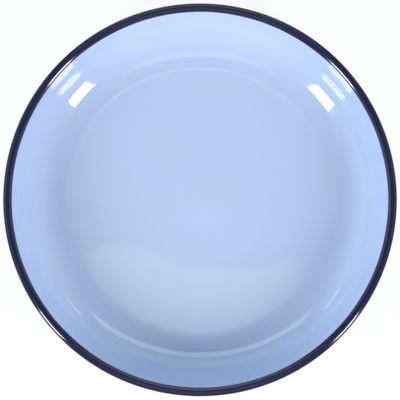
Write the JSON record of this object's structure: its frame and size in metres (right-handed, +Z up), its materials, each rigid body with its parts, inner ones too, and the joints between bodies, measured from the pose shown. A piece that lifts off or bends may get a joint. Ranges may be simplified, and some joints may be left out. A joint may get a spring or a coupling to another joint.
{
  "type": "enamelled steel bowl",
  "caption": "Shallow round pressed-steel bowl with pale blue enamel, steep plain wall, flat bottom and a navy band on the rolled rim; holds food or liquid.",
  "frame": {"origin": "centre of the flat underside, on the surface that the bowl stands on", "axes": "+Z up along the bowl's axis, from the underside to the rim; +X and +Y are any two directions across the bowl, which is round"},
  "size_m": [0.22, 0.22, 0.033],
  "materials": {
    "steel": "satin",
    "ground_enamel": "satin",
    "inside_enamel": "polished",
    "outside_enamel": "polished",
    "rim_enamel": "polished"
  },
  "bodies": {
    "root": {"steel_shell": "steel", "ground_coat_inside": "ground_enamel", "ground_coat_outside": "ground_enamel", "cover_coat_inside": "inside_enamel", "cover_coat_outside": "outside_enamel", "rim_band": "rim_enamel"}
  },
  "joints": []
}
